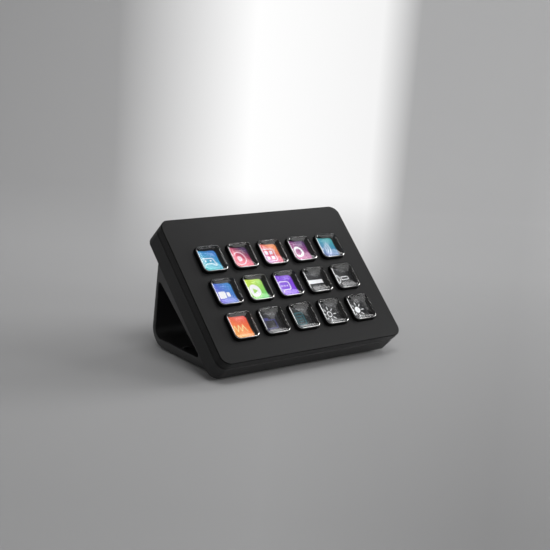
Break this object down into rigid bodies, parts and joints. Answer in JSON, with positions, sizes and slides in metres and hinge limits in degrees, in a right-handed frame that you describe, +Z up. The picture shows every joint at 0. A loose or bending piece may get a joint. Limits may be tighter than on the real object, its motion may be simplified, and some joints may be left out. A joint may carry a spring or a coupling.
{
  "type": "key pad",
  "caption": "Slanted desk key pad: a grid of clear push keys over one display, a lift-off faceplate and a triangular stand that the pad unhooks from.",
  "frame": {"origin": "on the table, midway across and midway between the face's front edge and the stand's heel", "axes": "+Z up, +X across the pad to its right, the face looking towards -Y and up"},
  "size_m": [0.118, 0.0726, 0.0686],
  "materials": {
    "stand_plastic": "fine-grained moulded black",
    "foot_rubber": "dull grey-black rubber",
    "case_plastic": "fine-grained moulded black",
    "frame_plastic": "dull black",
    "faceplate_plastic": "satin black, very fine grain",
    "mat_rubber": "black silicone",
    "contact_film": "printed black film",
    "display_glass": "dark polished glass over lit pictures",
    "tray_metal": "plain pressed sheet",
    "ribbon_film": "amber film",
    "board_laminate": "solder mask over laminate",
    "chip_plastic": "moulded epoxy",
    "socket_steel": "drawn steel",
    "tongue_plastic": "black",
    "screw_steel": "blackened steel",
    "clear_key": "clear polished acrylic, dished top"
  },
  "bodies": {
    "stand": {"stand_shell": "stand_plastic", "front_foot": "foot_rubber", "rear_foot": "foot_rubber"},
    "pad": {"rear_case": "case_plastic", "key_frame": "frame_plastic", "dome_mat": "mat_rubber", "contact_film": "contact_film", "display_glass": "display_glass", "display_tray": "tray_metal", "display_ribbon": "ribbon_film", "main_board": "board_laminate", "board_parts": "chip_plastic", "socket_shell": "socket_steel", "socket_tongue": "tongue_plastic", "case_screws": "screw_steel", "board_screws": "screw_steel"},
    "faceplate": {"faceplate": "faceplate_plastic"},
    "key_row1_col1": {"key_cap_row1_col1": "clear_key"},
    "key_row1_col2": {"key_cap_row1_col2": "clear_key"},
    "key_row1_col3": {"key_cap_row1_col3": "clear_key"},
    "key_row1_col4": {"key_cap_row1_col4": "clear_key"},
    "key_row1_col5": {"key_cap_row1_col5": "clear_key"},
    "key_row2_col1": {"key_cap_row2_col1": "clear_key"},
    "key_row2_col2": {"key_cap_row2_col2": "clear_key"},
    "key_row2_col3": {"key_cap_row2_col3": "clear_key"},
    "key_row2_col4": {"key_cap_row2_col4": "clear_key"},
    "key_row2_col5": {"key_cap_row2_col5": "clear_key"},
    "key_row3_col1": {"key_cap_row3_col1": "clear_key"},
    "key_row3_col2": {"key_cap_row3_col2": "clear_key"},
    "key_row3_col3": {"key_cap_row3_col3": "clear_key"},
    "key_row3_col4": {"key_cap_row3_col4": "clear_key"},
    "key_row3_col5": {"key_cap_row3_col5": "clear_key"}
  },
  "joints": [
    {"name": "pad_lift", "type": "slide", "parent": "stand", "child": "pad", "axis": [0, 0.7314, 0.682], "range_m": [0, 0.007]},
    {"name": "faceplate_lift", "type": "slide", "parent": "pad", "child": "faceplate", "axis": [0, -0.682, 0.7314], "range_m": [0, 0.012]},
    {"name": "press_row1_col1", "type": "slide", "parent": "pad", "child": "key_row1_col1", "axis": [0, 0.682, -0.7314], "range_m": [0, 0.001], "stiffness_N_per_m": 300, "springref_m": -0.0005, "deforming": ["dome_mat"]},
    {"name": "press_row1_col2", "type": "slide", "parent": "pad", "child": "key_row1_col2", "axis": [0, 0.682, -0.7314], "range_m": [0, 0.001], "stiffness_N_per_m": 300, "springref_m": -0.0005, "deforming": ["dome_mat"]},
    {"name": "press_row1_col3", "type": "slide", "parent": "pad", "child": "key_row1_col3", "axis": [0, 0.682, -0.7314], "range_m": [0, 0.001], "stiffness_N_per_m": 300, "springref_m": -0.0005, "deforming": ["dome_mat"]},
    {"name": "press_row1_col4", "type": "slide", "parent": "pad", "child": "key_row1_col4", "axis": [0, 0.682, -0.7314], "range_m": [0, 0.001], "stiffness_N_per_m": 300, "springref_m": -0.0005, "deforming": ["dome_mat"]},
    {"name": "press_row1_col5", "type": "slide", "parent": "pad", "child": "key_row1_col5", "axis": [0, 0.682, -0.7314], "range_m": [0, 0.001], "stiffness_N_per_m": 300, "springref_m": -0.0005, "deforming": ["dome_mat"]},
    {"name": "press_row2_col1", "type": "slide", "parent": "pad", "child": "key_row2_col1", "axis": [0, 0.682, -0.7314], "range_m": [0, 0.001], "stiffness_N_per_m": 300, "springref_m": -0.0005, "deforming": ["dome_mat"]},
    {"name": "press_row2_col2", "type": "slide", "parent": "pad", "child": "key_row2_col2", "axis": [0, 0.682, -0.7314], "range_m": [0, 0.001], "stiffness_N_per_m": 300, "springref_m": -0.0005, "deforming": ["dome_mat"]},
    {"name": "press_row2_col3", "type": "slide", "parent": "pad", "child": "key_row2_col3", "axis": [0, 0.682, -0.7314], "range_m": [0, 0.001], "stiffness_N_per_m": 300, "springref_m": -0.0005, "deforming": ["dome_mat"]},
    {"name": "press_row2_col4", "type": "slide", "parent": "pad", "child": "key_row2_col4", "axis": [0, 0.682, -0.7314], "range_m": [0, 0.001], "stiffness_N_per_m": 300, "springref_m": -0.0005, "deforming": ["dome_mat"]},
    {"name": "press_row2_col5", "type": "slide", "parent": "pad", "child": "key_row2_col5", "axis": [0, 0.682, -0.7314], "range_m": [0, 0.001], "stiffness_N_per_m": 300, "springref_m": -0.0005, "deforming": ["dome_mat"]},
    {"name": "press_row3_col1", "type": "slide", "parent": "pad", "child": "key_row3_col1", "axis": [0, 0.682, -0.7314], "range_m": [0, 0.001], "stiffness_N_per_m": 300, "springref_m": -0.0005, "deforming": ["dome_mat"]},
    {"name": "press_row3_col2", "type": "slide", "parent": "pad", "child": "key_row3_col2", "axis": [0, 0.682, -0.7314], "range_m": [0, 0.001], "stiffness_N_per_m": 300, "springref_m": -0.0005, "deforming": ["dome_mat"]},
    {"name": "press_row3_col3", "type": "slide", "parent": "pad", "child": "key_row3_col3", "axis": [0, 0.682, -0.7314], "range_m": [0, 0.001], "stiffness_N_per_m": 300, "springref_m": -0.0005, "deforming": ["dome_mat"]},
    {"name": "press_row3_col4", "type": "slide", "parent": "pad", "child": "key_row3_col4", "axis": [0, 0.682, -0.7314], "range_m": [0, 0.001], "stiffness_N_per_m": 300, "springref_m": -0.0005, "deforming": ["dome_mat"]},
    {"name": "press_row3_col5", "type": "slide", "parent": "pad", "child": "key_row3_col5", "axis": [0, 0.682, -0.7314], "range_m": [0, 0.001], "stiffness_N_per_m": 300, "springref_m": -0.0005, "deforming": ["dome_mat"]}
  ]
}
